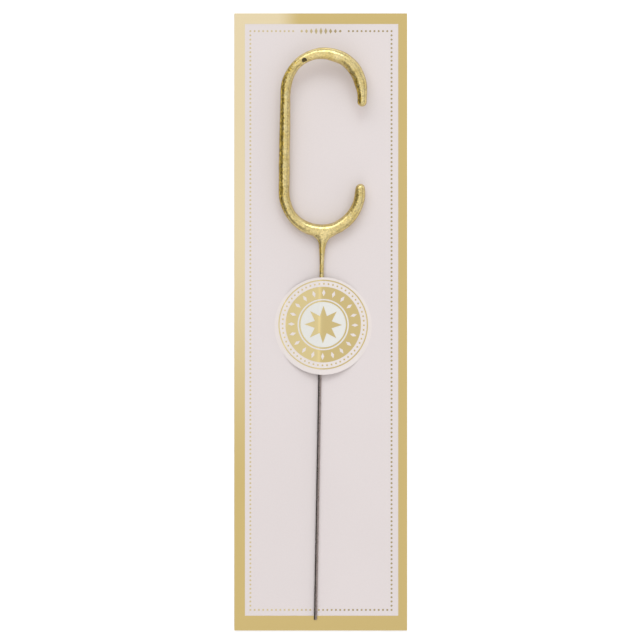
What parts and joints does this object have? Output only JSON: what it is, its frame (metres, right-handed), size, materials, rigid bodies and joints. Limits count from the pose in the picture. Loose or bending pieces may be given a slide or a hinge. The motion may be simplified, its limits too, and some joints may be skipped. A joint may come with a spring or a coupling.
{
  "type": "letter sparkler on card",
  "caption": "Gold-coated wire sparkler bent to a rounded open loop on a straight stem, held on a tall foil-edged card by a round peel-off paper seal.",
  "frame": {"origin": "middle of the card's back, which lies flat on the surface", "axes": "+X across the card to the right of its face, +Y up the card towards the loop, +Z out of the card's printed face"},
  "size_m": [0.07, 0.25, 0.0096],
  "materials": {
    "pink_board": "matte",
    "gold_foil": "satin",
    "white_paper": "matte",
    "clear_adhesive": "satin",
    "seal_foil": "satin",
    "dark_wire": "satin",
    "spark_composition": "matte",
    "gold_lacquer": "satin"
  },
  "bodies": {
    "card": {"backing_card": "pink_board", "foil_frame": "gold_foil", "foil_dots": "gold_foil", "foil_crest": "gold_foil"},
    "seal": {"seal_label": "white_paper", "seal_adhesive": "clear_adhesive", "seal_outer_ring": "seal_foil", "seal_bead_ring": "seal_foil", "seal_band": "seal_foil", "seal_inner_ring": "seal_foil", "seal_star": "seal_foil"},
    "sparkler": {"stem_wire": "dark_wire", "letter_wire": "dark_wire", "weld_bead": "dark_wire", "spark_composition": "spark_composition", "gold_coat": "gold_lacquer"}
  },
  "joints": [
    {"name": "pull_out", "type": "slide", "parent": "card", "child": "sparkler", "axis": [0.018, 0.9998, 0], "range_m": [0, 0.145]},
    {"name": "seal_peel", "type": "hinge", "parent": "card", "child": "seal", "pos_m": [-0.0187, -0.00131, 0.0008], "axis": [-0.018, -0.9998, 0], "range_deg": [0, 120]}
  ]
}
